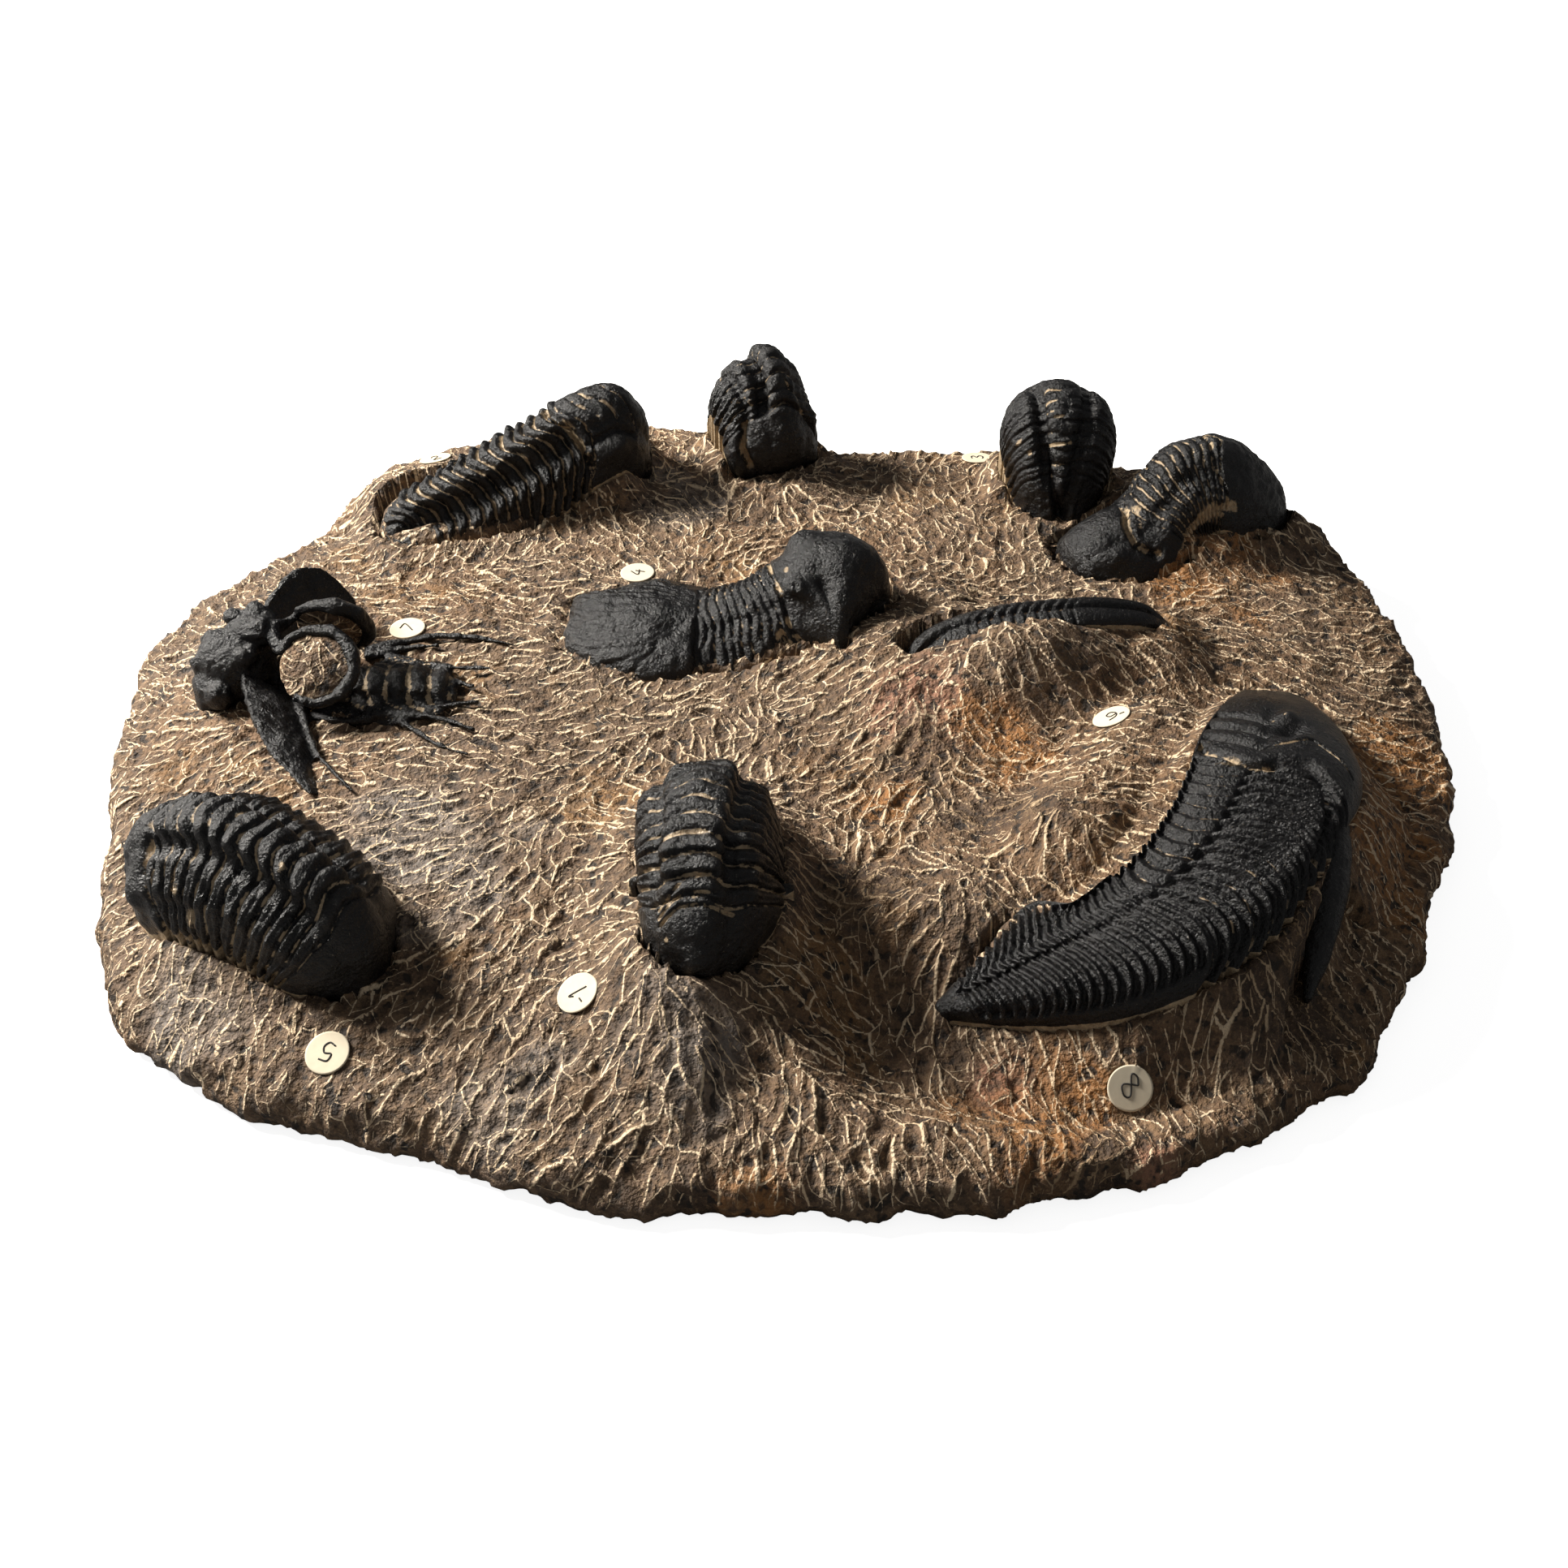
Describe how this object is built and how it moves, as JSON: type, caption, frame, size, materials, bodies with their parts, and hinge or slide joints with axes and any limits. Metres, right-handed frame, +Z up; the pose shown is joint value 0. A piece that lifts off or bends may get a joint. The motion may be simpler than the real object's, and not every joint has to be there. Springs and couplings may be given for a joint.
{
  "type": "trilobite cluster plate",
  "caption": "Prepared limestone plate with black trilobites standing free of the stone in many poses, and small numbered paper discs; a display fossil that rests flat.",
  "frame": {"origin": "bottom of the slab, under the middle of its outline", "axes": "+X along the slab to the right of the picture, +Y to its back, +Z up out of the stone"},
  "size_m": [0.2934, 0.2562, 0.0508],
  "materials": {
    "limestone": "rough chiselled limestone, warm grey brown with pale tool lines",
    "black_calcite": "near-black fossil shell, satin, finely pitted",
    "paper": "cream paper with handwritten numbers"
  },
  "bodies": {
    "root": {"matrix_slab": "limestone", "cheirurid_back_left": "black_calcite", "enrolled_phacopid_back": "black_calcite", "arched_phacopid_back": "black_calcite", "arched_phacopid_right": "black_calcite", "horned_trilobite": "black_calcite", "fan_tailed_trilobite": "black_calcite", "half_buried_trilobite": "black_calcite", "large_dalmanitid": "black_calcite", "phacopid_front_left": "black_calcite", "phacopid_front_centre": "black_calcite", "number_disc_1": "paper", "number_disc_2": "paper", "number_disc_3": "paper", "number_disc_4": "paper", "number_disc_5": "paper", "number_disc_6": "paper", "number_disc_7": "paper", "number_disc_8": "paper"}
  },
  "joints": []
}
